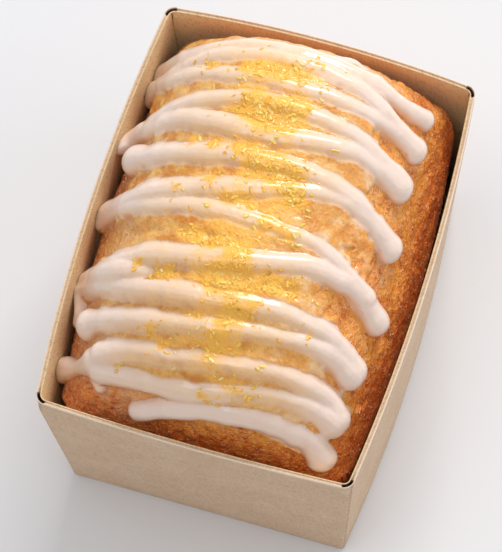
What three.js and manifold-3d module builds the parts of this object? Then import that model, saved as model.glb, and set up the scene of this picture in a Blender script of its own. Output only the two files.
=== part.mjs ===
// A lemon drizzle loaf cake in the folded kraft-board case that it was baked in.
// Millimetres, +Z up. The origin is the middle of the case's underside, +X is to the right
// across the loaf and +Y is towards its back end, along its length.
import * as THREE from "three";
import { mergeVertices } from "three/addons/utils/BufferGeometryUtils.js";
import Module from "manifold-3d";

// ---- Driving dimensions ----

// The case: a tapered tray whose long walls bulge outwards.
const RIM_WIDTH = 90;
const RIM_LENGTH = 122;
const CASE_HEIGHT = 72;
const WALL_LEAN = 4.9; // how far the foot of each wall stands in from its rim
const WALL_THICKNESS = 1.5; // two plies of board, folded over at the rim
const FLOOR_THICKNESS = 1.2;
const CASE_CORNER = 3.2;
const RIM_SIDE_BOW = 3.1;
const FOOT_SIDE_BOW = 3.5;
const RIM_FRONT_BOW = 1;
const RIM_BACK_BOW = 2.3;

// The cut through the folded rim at each corner, where the two plies part.
const SLOT_WIDTH = 0.6;
const SLOT_DEPTH = 3;
const SLOT_SWEEP = THREE.MathUtils.degToRad(80);

// The loaf: straight sides up to a shoulder, then a crown that rises well over the rim.
const LOAF_CLEARANCE = 0.9; // to the inner face of the case
const LOAF_CORNER = 9;
const SHOULDER_HEIGHT = 54;
const CROWN_HEIGHT = 96;
const CROWN_ACROSS = { power: 2.35, root: 1.5 }; // the arch from side to side
const CROWN_FRONT = { power: 2.8, root: 2.2 }; // the gentle fall to the front end
const CROWN_BACK = { power: 7.5, root: 2.2 }; // the steep fall to the back end
const LOAF_FOOT_ROUND = 3;

// The drizzle: passes of thick icing laid from side to side.
const ICING_HEIGHT = 3;
const ICING_WAIST = 0.6; // the height over the crust at which a pass is widest
const TOUCH_GAP = 0.3; // left between pieces that touch

// Where each pass of icing crosses the loaf: its left end, its distance along the loaf at the
// four stations across it, its right tip, and half its width.
const STATIONS = [-28, -4, 20, 31];
const PASSES = [
  { left: [-42, 45], along: [46.3, 48.6, 47.2, 45.4], tip: [35, 46], half: 3.5 },
  { left: [-42.5, 38.5], along: [42.9, 44.9, 41.8, 36.6], tip: [35.5, 34.7], half: 3.4 },
  { left: [-42.5, 38.5], along: [37.8, 37.2, 37.2, 36.2], tip: [35.5, 34.7], half: 3.1 },
  { left: [-44.5, 22.5], along: [28.3, 31, 29.1, 24.8], tip: [35.2, 22], half: 3.4 },
  { left: [-44.5, 22.5], along: [23.5, 21.4, 24.8, 23.6], tip: [35.2, 22], half: 3.9 },
  { left: [-41.5, 14], along: [12.8, 14.2, 13.5, 8.9], tip: [37, 4.6], half: 4 },
  { left: [-44, -1], along: [0.8, 5, 11, 8.8], tip: [37, 4.6], half: 4 },
  { left: [-44, -1], along: [-2.8, -2.9, -4.6, -9.4], tip: [34.5, -11], half: 3.3 },
  { left: [-44.5, -22.5], along: [-19.6, -15.8, -10, -8.4], tip: [39, -14.6], half: 4.1 },
  { left: [-44.5, -22.5], along: [-26.6, -26.8, -24.5, -26.4], tip: [37, -31.3], half: 4 },
  { left: [-38.5, -35], along: [-35.2, -34.3, -29.8, -29.3], tip: [37, -31.3], half: 3.8 },
  { left: [-41.5, -46], along: [-43.4, -42.3, -39.3, -39.6], tip: [36.3, -44.2], half: 3.8 },
  { left: [-41.5, -46], along: [-49, -49, -44.1, -43.2], tip: [36.3, -44.2], half: 3.8 },
  { left: [-18.5, -55], along: [null, -52, -50.2, -50.5], tip: [34.8, -54.2], half: 3.9 },
];
const BULB_GROWTH = 0.32; // how much wider a pass swells at its two ends
const BULB_REACH = 9; // the length of a pass over which it swells
const BLUNT_NOSE = 0.14; // a pass's size at its very tip, as a share of its full size
const SMALLEST_BODY = 20; // cubic millimetres: a smaller shaving of icing isn't kept

// How finely the faceted solids follow their curves.
const SIDE_STEPS = 9;
const END_STEPS = 6;
const CORNER_STEPS = 3;
const CROWN_RINGS = 10;
const PASS_STEPS = 19;
const ROUTE_STEPS = 57; // along a pass's route, where it is laid on the crown
const PASS_SIDES = 8;
const END_CROWDING = 0.5; // how much closer a pass's steps lie near its ends

// ---- Shapes ----

const wasm = await Module();
wasm.setup();

const mix = THREE.MathUtils.lerp;

// The case's size at a height, measured to a surface that lies `inset` inside its outer face.
function sizeAt(height, inset, corner) {
  const up = Math.min(height / CASE_HEIGHT, 1);
  const drawnIn = WALL_LEAN * (1 - up) + inset;
  return {
    halfWidth: RIM_WIDTH / 2 - drawnIn,
    halfLength: RIM_LENGTH / 2 - drawnIn,
    corner,
    sideBow: mix(FOOT_SIDE_BOW, RIM_SIDE_BOW, up),
    frontBow: RIM_FRONT_BOW * up,
    backBow: RIM_BACK_BOW * up,
  };
}

const bulge = (t, bow) => bow * Math.max(1 - t * t, 0);

// Half the width of a size at a place along it, and the distance to its front or back end.
const halfWidthAt = (size, y) =>
  size.halfWidth + bulge(y / (size.halfLength - size.corner), size.sideBow);
const halfLengthAt = (size, x, y) =>
  size.halfLength +
  bulge(x / (size.halfWidth - size.corner), y < 0 ? size.frontBow : size.backBow);

// A closed outline seen from above, counter-clockwise: four bowed sides and round corners.
function outline(size) {
  const { halfWidth, halfLength, corner, sideBow, frontBow, backBow } = size;
  const flatX = halfWidth - corner;
  const flatY = halfLength - corner;
  const points = [];
  const side = (steps, place) => {
    for (let i = 0; i <= steps; i++) points.push(place((2 * i) / steps - 1));
  };
  const round = (x, y, from) => {
    for (let i = 1; i < CORNER_STEPS; i++) {
      const angle = from + ((Math.PI / 2) * i) / CORNER_STEPS;
      const reach = new THREE.Vector2(Math.cos(angle), Math.sin(angle)).multiplyScalar(corner);
      points.push(reach.add(new THREE.Vector2(x, y)));
    }
  };
  side(SIDE_STEPS, (t) => new THREE.Vector2(halfWidth + bulge(t, sideBow), t * flatY));
  round(flatX, flatY, 0);
  side(END_STEPS, (t) => new THREE.Vector2(-t * flatX, halfLength + bulge(t, backBow)));
  round(-flatX, flatY, Math.PI / 2);
  side(SIDE_STEPS, (t) => new THREE.Vector2(-halfWidth - bulge(t, sideBow), -t * flatY));
  round(-flatX, -flatY, Math.PI);
  side(END_STEPS, (t) => new THREE.Vector2(t * flatX, -halfLength - bulge(t, frontBow)));
  round(flatX, -flatY, -Math.PI / 2);
  return points;
}

// A ring of points in space from an outline, with a height for each point.
const ringAt = (points, heightOf) => points.map((p) => new THREE.Vector3(p.x, p.y, heightOf(p)));

// A closed surface through rings of equally many points, with a fan of triangles on each end.
function loft(rings) {
  const count = rings[0].length;
  const middle = (ring) =>
    ring.reduce((sum, p) => sum.add(p), new THREE.Vector3()).divideScalar(count);
  const ends = [middle(rings[0]), middle(rings.at(-1))];
  const vertices = [...rings.flat(), ...ends];
  const firstEnd = vertices.length - 2;
  const index = [];
  for (let i = 0; i < count; i++) {
    const next = (i + 1) % count;
    for (let r = 0; r + 1 < rings.length; r++) {
      const [low, high] = [r * count, (r + 1) * count];
      index.push(low + i, low + next, high + next, low + i, high + next, high + i);
    }
    const top = (rings.length - 1) * count;
    index.push(firstEnd, next, i, firstEnd + 1, top + i, top + next);
  }
  return new THREE.BufferGeometry().setFromPoints(vertices).setIndex(index);
}

function toSolid(geometry) {
  const bare = geometry.clone();
  bare.deleteAttribute("normal");
  bare.deleteAttribute("uv");
  const merged = mergeVertices(bare, 1e-4);
  return new wasm.Manifold(
    new wasm.Mesh({
      numProp: 3,
      vertProperties: new Float32Array(merged.attributes.position.array),
      triVerts: new Uint32Array(merged.index.array),
    }),
  );
}

function toGeometry(solid) {
  const mesh = solid.getMesh();
  const geometry = new THREE.BufferGeometry();
  geometry.setAttribute("position", new THREE.BufferAttribute(mesh.vertProperties, 3));
  geometry.setIndex(new THREE.BufferAttribute(mesh.triVerts, 1));
  geometry.computeVertexNormals();
  return geometry;
}

// The space inside the case's walls, drawn in by `gap` and running up well past the crown.
function insideOfCase(gap, floor) {
  const inset = WALL_THICKNESS + gap;
  const corner = CASE_CORNER - inset;
  const heights = [floor, CASE_HEIGHT, 2 * CROWN_HEIGHT];
  const rings = heights.map((z) => ringAt(outline(sizeAt(z, inset, corner)), () => z));
  return toSolid(loft(rings));
}

// ---- The case ----

// One curved cut in the rim, half way through the wall and round the middle of a corner.
function cornerSlot(signX, signY) {
  const rim = sizeAt(CASE_HEIGHT, 0, CASE_CORNER);
  const middle = CASE_CORNER - WALL_THICKNESS / 2;
  const shape = new THREE.Shape();
  const [from, to] = [Math.PI / 4 - SLOT_SWEEP / 2, Math.PI / 4 + SLOT_SWEEP / 2];
  shape.absarc(0, 0, middle + SLOT_WIDTH / 2, from, to, false);
  shape.absarc(0, 0, middle - SLOT_WIDTH / 2, to, from, true);
  const cut = new THREE.ExtrudeGeometry(shape, {
    depth: 2 * SLOT_DEPTH,
    bevelEnabled: false,
    curveSegments: 5,
  });
  cut.rotateZ(Math.atan2(signY, signX) - Math.PI / 4);
  cut.translate(
    signX * (rim.halfWidth - CASE_CORNER),
    signY * (rim.halfLength - CASE_CORNER),
    CASE_HEIGHT - SLOT_DEPTH,
  );
  return toSolid(cut);
}

function caseGeometry() {
  const rings = [0, CASE_HEIGHT].map((z) =>
    ringAt(outline(sizeAt(z, 0, CASE_CORNER)), () => z),
  );
  let tray = toSolid(loft(rings)).subtract(insideOfCase(0, FLOOR_THICKNESS));
  for (const signX of [-1, 1])
    for (const signY of [-1, 1]) tray = tray.subtract(cornerSlot(signX, signY));
  return toGeometry(tray);
}

// ---- The loaf ----

const loafSize = (height, extra = 0) =>
  sizeAt(height, WALL_THICKNESS + LOAF_CLEARANCE + extra, LOAF_CORNER);

const arch = (share, { power, root }) =>
  Math.max(1 - Math.min(share, 1) ** power, 0) ** (1 / root);

// The height of the crown over a place inside the shoulder.
function crownHeight(x, y) {
  const size = loafSize(SHOULDER_HEIGHT);
  const across = arch(Math.abs(x) / halfWidthAt(size, y), CROWN_ACROSS);
  const fall = y < 0 ? CROWN_FRONT : CROWN_BACK;
  const lengthwise = arch(Math.abs(y) / halfLengthAt(size, x, y), fall);
  return mix(SHOULDER_HEIGHT, CROWN_HEIGHT, across * lengthwise);
}

// The loaf's solid, with the crown and sides moved out by `grown`.
function loafSolid(grown) {
  const foot = FLOOR_THICKNESS + TOUCH_GAP - grown;
  const sides = [
    [foot, LOAF_FOOT_ROUND - grown],
    [foot + LOAF_FOOT_ROUND, -grown],
  ].map(([z, extra]) => ringAt(outline(loafSize(z, extra)), () => z));
  const shoulder = loafSize(SHOULDER_HEIGHT, -grown);
  const toTrueSize = loafSize(SHOULDER_HEIGHT).halfWidth / shoulder.halfWidth;
  const overPlace = (p) => crownHeight(p.x * toTrueSize, p.y * toTrueSize) + grown;
  const crown = [];
  for (let i = 0; i < CROWN_RINGS; i++) {
    const share = Math.cos(((Math.PI / 2) * i) / CROWN_RINGS);
    const points = outline(shoulder).map((p) => p.multiplyScalar(share));
    crown.push(ringAt(points, overPlace));
  }
  return toSolid(loft([...sides, ...crown]));
}

// ---- The drizzle ----

// A pass's route over the crown, from its left end to its right tip.
function passCurve({ left, along, tip }) {
  const crossings = STATIONS.map((x, i) => [x, along[i]]).filter(([, y]) => y !== null);
  const seenFromAbove = [left, ...crossings, tip].map(([x, y]) => new THREE.Vector3(x, y, 0));
  const plan = new THREE.CatmullRomCurve3(seenFromAbove, false, "centripetal");
  const onCrown = plan.getPoints(ROUTE_STEPS);
  for (const p of onCrown) p.z = crownHeight(p.x, p.y);
  return new THREE.CatmullRomCurve3(onCrown);
}

function crownNormal(p) {
  const step = 0.5;
  const slope = (dx, dy) =>
    (crownHeight(p.x + dx, p.y + dy) - crownHeight(p.x - dx, p.y - dy)) / (2 * step);
  return new THREE.Vector3(-slope(step, 0), -slope(0, step), 1).normalize();
}

// A pass's size along its length: it swells towards both ends and closes in a round nose.
function passScale(distance, length, half) {
  const toEnd = Math.min(distance, length - distance);
  const swell = 1 + BULB_GROWTH * Math.exp(-((toEnd / BULB_REACH) ** 2));
  const nose = Math.min(toEnd / (half * swell), 1);
  return swell * Math.max(Math.sqrt(1 - (1 - nose) ** 2), BLUNT_NOSE);
}

function passSolid(pass) {
  const curve = passCurve(pass);
  const length = curve.getLength();
  const rings = [];
  for (let i = 0; i <= PASS_STEPS; i++) {
    const even = i / PASS_STEPS;
    const share = mix(even, (1 - Math.cos(Math.PI * even)) / 2, END_CROWDING);
    const normal = crownNormal(curve.getPointAt(share));
    const middle = curve.getPointAt(share).addScaledVector(normal, ICING_WAIST);
    const sideways = new THREE.Vector3().crossVectors(normal, curve.getTangentAt(share));
    const scale = passScale(share * length, length, pass.half);
    const ring = [];
    for (let k = 0; k < PASS_SIDES; k++) {
      const angle = (2 * Math.PI * k) / PASS_SIDES;
      const out = scale * pass.half * Math.cos(angle);
      const up = scale * (ICING_HEIGHT - ICING_WAIST) * Math.sin(angle);
      ring.push(middle.clone().addScaledVector(sideways, out).addScaledVector(normal, up));
    }
    rings.push(ring);
  }
  return toSolid(loft(rings));
}

// The icing's separate bodies, from the back of the loaf to its front: the passes that run into
// one another are one body, and each is cut to the crust and to the case's walls.
function drizzleGeometries() {
  const laid = PASSES.map(passSolid).reduce((all, pass) => all.add(pass));
  const bodies = laid
    .subtract(loafSolid(TOUCH_GAP))
    .intersect(insideOfCase(TOUCH_GAP, SHOULDER_HEIGHT / 2))
    .decompose()
    .filter((body) => body.volume() > SMALLEST_BODY);
  const backEdge = (body) => body.boundingBox().max[1];
  return bodies.sort((a, b) => backEdge(b) - backEdge(a)).map(toGeometry);
}

// ---- The object ----

const kraftBoard = new THREE.MeshStandardMaterial({
  name: "kraft_board",
  color: 0xb9a283,
  roughness: 0.85,
  metalness: 0,
});
const bakedCrust = new THREE.MeshStandardMaterial({
  name: "baked_crust",
  color: 0xc0742f,
  roughness: 0.55,
  metalness: 0,
});
const sugarIcing = new THREE.MeshStandardMaterial({
  name: "sugar_icing",
  color: 0xe6d3c3,
  roughness: 0.25,
  metalness: 0,
});

const group = new THREE.Group();

function addPiece(name, geometry, material) {
  const mesh = new THREE.Mesh(geometry, material);
  mesh.name = name;
  group.add(mesh);
}

addPiece("case", caseGeometry(), kraftBoard);
addPiece("loaf", toGeometry(loafSolid(0)), bakedCrust);
drizzleGeometries().forEach((geometry, i) => addPiece(`drizzle_${i + 1}`, geometry, sugarIcing));

export default group;
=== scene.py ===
"""A lemon drizzle loaf cake in the folded kraft-board case that it was baked in.

Lengths are in metres and +Z is up. The origin is the middle of the case's underside, +X is to
the right across the loaf and +Y is towards its back end.
"""

from __future__ import annotations

import logging
import math
from dataclasses import dataclass, field
from enum import Enum
from typing import Any, Sequence

import bpy
import numpy as np
from mathutils import Matrix, Vector, kdtree, noise


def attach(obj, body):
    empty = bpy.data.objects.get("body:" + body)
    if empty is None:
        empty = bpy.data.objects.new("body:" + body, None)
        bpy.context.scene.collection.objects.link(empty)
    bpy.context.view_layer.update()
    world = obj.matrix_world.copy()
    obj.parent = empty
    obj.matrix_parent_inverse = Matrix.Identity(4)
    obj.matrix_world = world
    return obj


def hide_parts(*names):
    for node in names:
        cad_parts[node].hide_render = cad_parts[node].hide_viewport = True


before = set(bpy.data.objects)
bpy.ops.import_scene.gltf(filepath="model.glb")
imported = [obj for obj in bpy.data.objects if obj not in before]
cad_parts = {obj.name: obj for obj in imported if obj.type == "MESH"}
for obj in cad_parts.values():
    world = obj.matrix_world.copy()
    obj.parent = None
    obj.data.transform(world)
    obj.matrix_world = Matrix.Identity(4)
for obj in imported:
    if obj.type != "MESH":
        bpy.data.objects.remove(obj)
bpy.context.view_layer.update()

MM = 0.001
log = logging.getLogger("loaf")

Array = np.ndarray
Colour = tuple[float, float, float, float]


def srgb(red: int, green: int, blue: int) -> Colour:
    """Turn a display colour into the linear colour that a shader takes.

    Args:
        red: Its red part, 0 to 255.
        green: Its green part.
        blue: Its blue part.

    Returns:
        The linear colour, with an alpha of 1.
    """

    def linear(part: int) -> float:
        """Turn one part linear."""
        share = part / 255
        return share / 12.92 if share <= 0.04045 else ((share + 0.055) / 1.055) ** 2.4

    return (linear(red), linear(green), linear(blue), 1.0)


def smooth(value: Array, low: float, high: float) -> Array:
    """Rise smoothly from 0 to 1 as the value goes from low to high."""
    share = np.clip((value - low) / (high - low), 0, 1)
    return share * share * (3 - 2 * share)


# ---- Node trees ----


class Sheet:
    """A node tree under construction."""

    def __init__(self, tree: bpy.types.NodeTree) -> None:
        """Take the tree that nodes are added to."""
        self.tree = tree

    def node(self, kind: str, settings: dict[str, Any] | None = None,
             sockets: dict[str | int, Any] | None = None) -> bpy.types.Node:
        """Add one node.

        Args:
            kind: The node's type.
            settings: Its properties, set before its sockets.
            sockets: Values or links, by the socket's identifier, name or number.

        Returns:
            The new node.
        """
        node = self.tree.nodes.new(kind)
        for name, value in (settings or {}).items():
            setattr(node, name, value)
        for key, value in (sockets or {}).items():
            for given in value if isinstance(value, list) else [value]:
                self._feed(self._find(node.inputs, key), given)
        return node

    def term(self, kind: str, settings: dict[str, Any] | None = None,
             sockets: dict[str | int, Any] | None = None, out: str | int = 0) -> Term:
        """Add one node and take one of its outputs as a term."""
        node = self.node(kind, settings, sockets)
        return Term(self, self._find(node.outputs, out))

    @staticmethod
    def _find(sockets: Any, key: str | int) -> bpy.types.NodeSocket:
        """Find one of a node's inputs or outputs.

        Args:
            sockets: The inputs or the outputs.
            key: Its number, its identifier, or the name of one that is in use.

        Returns:
            The socket.
        """
        if isinstance(key, int):
            return sockets[key]
        for socket in sockets:
            if socket.identifier == key:
                return socket
        return next(socket for socket in sockets if socket.name == key and socket.enabled)

    def _feed(self, socket: bpy.types.NodeSocket, value: Any) -> None:
        """Link something to an input, or set the input's own value.

        Args:
            socket: The input.
            value: A term or a socket to link, or a plain value.
        """
        if isinstance(value, Term):
            value = value.socket
        if isinstance(value, bpy.types.NodeSocket):
            self.tree.links.new(value, socket)
        else:
            socket.default_value = value


class Term:
    """A socket that takes part in Python arithmetic: each operation adds a Math node."""

    def __init__(self, sheet: Sheet, socket: bpy.types.NodeSocket) -> None:
        """Wrap a socket of a sheet."""
        self.sheet = sheet
        self.socket = socket

    def _math(self, operation: str, first: Any, second: Any) -> Term:
        """Add a Math node for two operands."""
        return self.sheet.term("ShaderNodeMath", {"operation": operation}, {0: first, 1: second})

    def __add__(self, other: Any) -> Term:
        """Add."""
        return self._math("ADD", self, other)

    def __sub__(self, other: Any) -> Term:
        """Subtract."""
        return self._math("SUBTRACT", self, other)

    def __rsub__(self, other: Any) -> Term:
        """Subtract this term from a number."""
        return self._math("SUBTRACT", other, self)

    def __mul__(self, other: Any) -> Term:
        """Multiply."""
        return self._math("MULTIPLY", self, other)

    def __pow__(self, other: Any) -> Term:
        """Raise to a power."""
        return self._math("POWER", self, other)

    __radd__ = __add__
    __rmul__ = __mul__

    def rise(self, low: float, high: float) -> Term:
        """Rise smoothly from 0 to 1 as this term goes from low to high."""
        values = {"Value": self, "From Min": low, "From Max": high}
        return self.sheet.term("ShaderNodeMapRange", {"interpolation_type": "SMOOTHSTEP"}, values)


class Paint(Sheet):
    """A material under construction: patterns in Object coordinates, and one shader."""

    def __init__(self, name: str, uniform: dict[str, Any]) -> None:
        """Start a material.

        Args:
            name: The material's name.
            uniform: The shader's values that are the same all over.
        """
        self.material = bpy.data.materials.new(name)
        self.material.use_nodes = True
        super().__init__(self.material.node_tree)
        self.tree.nodes.clear()
        self.shader = self.node("ShaderNodeBsdfPrincipled", None, uniform)
        self.node("ShaderNodeOutputMaterial", None, {"Surface": self.shader.outputs[0]})
        self.place = self.term("ShaderNodeTexCoord", None, None, "Object")

    def noise(self, size: float, detail: float = 2, stretch: Sequence[float] = (1, 1, 1),
              turn: float = 0.0, at: Term | None = None, distortion: float = 0.0) -> Term:
        """Add a noise pattern.

        Args:
            size: The size of its patches in metres.
            detail: How many finer layers it has.
            stretch: How much longer its patches are along each axis.
            turn: An angle about Z that it is turned by.
            at: The coordinates that it reads, or Object coordinates.
            distortion: How much it swirls.

        Returns:
            Values around a half.
        """
        spread = self.term("ShaderNodeMapping", {"vector_type": "TEXTURE"}, {
            "Vector": at or self.place,
            "Rotation": (0, 0, turn),
            "Scale": tuple(size * along for along in stretch),
        })
        return self.term("ShaderNodeTexNoise", None, {
            "Vector": spread, "Scale": 1.0, "Detail": detail, "Distortion": distortion,
        })

    def veins(self, size: float, narrow: float, stretch: Sequence[float] = (1, 1, 1),
              turn: float = 0.0, distortion: float = 0.5) -> tuple[Term, Term]:
        """Add thin wavy lines where a noise pattern passes its middle.

        Args:
            size: The size of the pattern's patches in metres.
            narrow: How narrow the lines are.
            stretch: How much longer its patches are along each axis.
            turn: An angle about Z that it is turned by.
            distortion: How much it swirls.

        Returns:
            The noise pattern, and the lines as 1 on a line and 0 off it.
        """
        pattern = self.noise(size, 1, stretch, turn, distortion=distortion)
        return pattern, 1 - ((pattern - 0.5) ** 2 * narrow).rise(0, 1)

    def cells(self, size: float) -> Term:
        """Add a pattern of cells of a size, as the distance to the nearest cell's middle."""
        return self.term("ShaderNodeTexVoronoi", None, {"Vector": self.place, "Scale": 1 / size})

    def attribute(self, name: str) -> Term:
        """Read a number stored on the mesh's points."""
        return self.term("ShaderNodeAttribute", {"attribute_name": name}, None, "Fac")

    def blend(self, first: Any, second: Any, share: Term) -> Term:
        """Blend two colours, by a share that goes from 0, all the first, to 1."""
        return self.term("ShaderNodeMix", {"data_type": "RGBA"},
                         {"Factor_Float": share, "A_Color": first, "B_Color": second},
                         "Result_Color")

    def bump(self, height: Term, depth: float) -> Term:
        """Turn a height of 0 to 1 into normals, with the depth in metres."""
        return self.term("ShaderNodeBump", None, {"Height": height, "Distance": depth},
                         "Normal")

    def finish(self, **varying: Term) -> bpy.types.Material:
        """Feed the shader's varying sockets.

        Args:
            **varying: What each socket takes, by its name with underscores for spaces.

        Returns:
            The finished material.
        """
        for name, value in varying.items():
            self._feed(self.shader.inputs[name.replace("_", " ")], value)
        return self.material


# ---- Shapes of the case and the loaf ----


def bulge(share: Array, bow: Array | float) -> Array:
    """Give how far a bowed side stands out at a share of its half length."""
    return bow * np.maximum(1 - np.square(share), 0)


@dataclass(frozen=True)
class Outline:
    """A plan with four bowed sides and round corners. Its sizes may be arrays."""

    half_width: Array | float
    half_length: Array | float
    corner: Array | float
    side_bow: Array | float
    front_bow: Array | float
    back_bow: Array | float

    def width_at(self, y: Array) -> Array:
        """Give half the width at a place along the length."""
        return self.half_width + bulge(y / (self.half_length - self.corner), self.side_bow)

    def length_at(self, x: Array, y: Array) -> Array:
        """Give the distance to the front or back end at a place."""
        bow = np.where(y < 0, self.front_bow, self.back_bow)
        return self.half_length + bulge(x / (self.half_width - self.corner), bow)

    def place(self, inner: Array, away: Array) -> Array:
        """Place points on the outline.

        Args:
            inner: Shares of the straight half sides, -1 to 1, as n by 2.
            away: The unit directions outwards there, as n by 2.

        Returns:
            The points, as n by 2.
        """
        bow = np.where(away[:, 1] < 0, self.front_bow, self.back_bow)
        straight_x = (self.half_width - self.corner) * inner[:, 0]
        straight_y = (self.half_length - self.corner) * inner[:, 1]
        out_x = away[:, 0] * (self.corner + bulge(inner[:, 1], self.side_bow))
        out_y = away[:, 1] * (self.corner + bulge(inner[:, 0], bow))
        return np.stack([straight_x + out_x, straight_y + out_y], axis=1)


@dataclass(frozen=True)
class CaseShape:
    """The sizes of the tapered case."""

    rim_width: float = 90 * MM
    rim_length: float = 122 * MM
    height: float = 72 * MM
    lean: float = 4.9 * MM
    wall: float = 1.5 * MM
    floor: float = 1.2 * MM
    corner: float = 3.2 * MM
    rim_side_bow: float = 3.1 * MM
    foot_side_bow: float = 3.5 * MM
    rim_front_bow: float = 1 * MM
    rim_back_bow: float = 2.3 * MM

    def outline(self, height: Array | float, inset: Array | float,
                corner: Array | float) -> Outline:
        """Give the case's plan at a height.

        Args:
            height: The height.
            inset: How far within the outer face it lies.
            corner: Its corners' radius.

        Returns:
            The plan.
        """
        up = np.minimum(height / self.height, 1)
        drawn_in = self.lean * (1 - up) + inset
        return Outline(
            self.rim_width / 2 - drawn_in,
            self.rim_length / 2 - drawn_in,
            corner,
            self.foot_side_bow + (self.rim_side_bow - self.foot_side_bow) * up,
            self.rim_front_bow * up,
            self.rim_back_bow * up,
        )


@dataclass(frozen=True)
class Arch:
    """A fall from 1 in the middle to 0 at the edge."""

    power: float
    root: float

    def at(self, share: Array) -> Array:
        """Give the arch's height at a share of the way to the edge."""
        return np.maximum(1 - np.minimum(np.abs(share), 1) ** self.power, 0) ** (1 / self.root)


@dataclass(frozen=True)
class Crown:
    """The loaf's top: a crown over a shoulder outline."""

    case: CaseShape = CaseShape()
    clearance: float = 0.9 * MM
    corner: float = 9 * MM
    shoulder: float = 54 * MM
    peak: float = 96 * MM
    across: Arch = Arch(2.35, 1.5)
    front: Arch = Arch(2.8, 2.2)
    back: Arch = Arch(7.5, 2.2)

    def outline(self, height: Array | float, extra: Array | float = 0.0) -> Outline:
        """Give the loaf's plan at a height, drawn in by something extra."""
        return self.case.outline(height, self.case.wall + self.clearance + extra, self.corner)

    def height(self, x: Array, y: Array) -> Array:
        """Give the crust's height over places.

        Args:
            x: The places across.
            y: The places along.

        Returns:
            The heights.
        """
        edge = self.outline(self.shoulder)
        lengthwise = y / edge.length_at(x, y)
        fall = np.where(y < 0, self.front.at(lengthwise), self.back.at(lengthwise))
        rise = self.across.at(x / edge.width_at(y)) * fall
        return self.shoulder + (self.peak - self.shoulder) * rise

    def normal(self, x: Array, y: Array, step: float = 0.5 * MM) -> Array:
        """Give the crust's outward directions over places.

        Args:
            x: The places across.
            y: The places along.
            step: How far to each side the slope is measured.

        Returns:
            The unit normals, as n by 3.
        """
        slope_x = (self.height(x + step, y) - self.height(x - step, y)) / (2 * step)
        slope_y = (self.height(x, y + step) - self.height(x, y - step)) / (2 * step)
        out = np.stack([-slope_x, -slope_y, np.ones_like(slope_x)], axis=1)
        return out / np.linalg.norm(out, axis=1, keepdims=True)


# ---- Meshes ----


def new_object(name: str, points: Array, faces: Sequence[Sequence[int]],
               material: bpy.types.Material | None) -> bpy.types.Object:
    """Make a smooth-shaded mesh object at the origin.

    Args:
        name: The object's name.
        points: Its points, as n by 3.
        faces: Its faces, as lists of point numbers.
        material: Its one material.

    Returns:
        The object, linked to the scene.
    """
    mesh = bpy.data.meshes.new(name)
    mesh.from_pydata(points.tolist(), [], faces)
    mesh.validate()
    mesh.shade_smooth()
    if material:
        mesh.materials.append(material)
    return linked(name, mesh)


def linked(name: str, data: Any) -> bpy.types.Object:
    """Make an object for some data and link it to the scene.

    Args:
        name: The object's name.
        data: Its mesh, lamp or camera.

    Returns:
        The object.
    """
    made = bpy.data.objects.new(name, data)
    bpy.context.scene.collection.objects.link(made)
    return made


def vectors(items: Any, name: str) -> Array:
    """Read one vector from each of a mesh's items.

    Args:
        items: The mesh's points or its points' normals.
        name: The vector's name.

    Returns:
        The vectors, as n by 3.
    """
    flat = np.empty(len(items) * 3)
    items.foreach_get(name, flat)
    return flat.reshape(-1, 3)


def move_points(mesh: bpy.types.Mesh, points: Array) -> None:
    """Put a mesh's points somewhere else."""
    mesh.vertices.foreach_set("co", points.ravel())
    mesh.update()


def store(mesh: bpy.types.Mesh, name: str, values: Array) -> None:
    """Store one number for each point of a mesh."""
    mesh.attributes.new(name, "FLOAT", "POINT").data.foreach_set("value", values)


def baked(made: bpy.types.Object, name: str) -> bpy.types.Object:
    """Turn an object with modifiers into a plain mesh object.

    Args:
        made: The object, which is removed.
        name: The plain object's name.

    Returns:
        The plain object.
    """
    graph = bpy.context.evaluated_depsgraph_get()
    mesh = bpy.data.meshes.new_from_object(made.evaluated_get(graph))
    bpy.data.objects.remove(made)
    mesh.name = name
    return linked(name, mesh)


def rough(points: Array, size: float, octaves: int = 2, seed: float = 0.0) -> Array:
    """Give fractal noise at points.

    Args:
        points: The points, as n by 3.
        size: The size of the noise's patches in metres.
        octaves: How many layers it has.
        seed: Which noise it is.

    Returns:
        Values of about -1 to 1.
    """
    shift = Vector((seed, 2.7 * seed, -1.3 * seed))
    scaled = points / size
    return np.array([noise.fractal(Vector(p) + shift, 1.0, 2.0, octaves) for p in scaled])


def square_grid(rings: int) -> tuple[Array, Array, Array]:
    """Lay a square grid of points in square rings round its middle.

    Args:
        rings: How many rings there are round the middle point.

    Returns:
        The ring number of each point, its place on the unit square's edge, and the grid's
        quads, counter-clockwise.
    """
    line = np.arange(-rings, rings + 1)
    x, y = (part.ravel() for part in np.meshgrid(line, line))
    ring = np.maximum(np.abs(x), np.abs(y))
    edge = np.stack([x, y], axis=1) / np.maximum(ring, 1)[:, None]
    count = 2 * rings + 1
    low = (np.arange(count - 1)[:, None] * count + np.arange(count - 1)).ravel()
    quads = np.stack([low, low + 1, low + count + 1, low + count], axis=1)
    return ring, edge, quads


def grid_rim(rings: int) -> list[int]:
    """List the outermost points of a square grid.

    Args:
        rings: How many rings the grid has.

    Returns:
        The points' numbers in order, counter-clockwise.
    """
    last = 2 * rings
    count = last + 1
    front = list(range(last))
    right = [i * count + last for i in range(last)]
    back = [last * count + last - i for i in range(last)]
    left = [(last - i) * count for i in range(last)]
    return front + right + back + left


CORNER_SHARE = 0.12


def round_the_square(edge: Array) -> tuple[Array, Array]:
    """Turn places on the unit square's edge into what Outline.place takes.

    Args:
        edge: The places, as n by 2.

    Returns:
        The shares of the straight half sides, and the directions outwards.
    """
    flat = 1 - CORNER_SHARE
    inner = np.clip(edge / flat, -1, 1)
    away = edge - inner * flat
    length = np.linalg.norm(away, axis=1, keepdims=True)
    return inner, away / np.maximum(length, 1e-9)


# ---- Geometry Nodes ----


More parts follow.
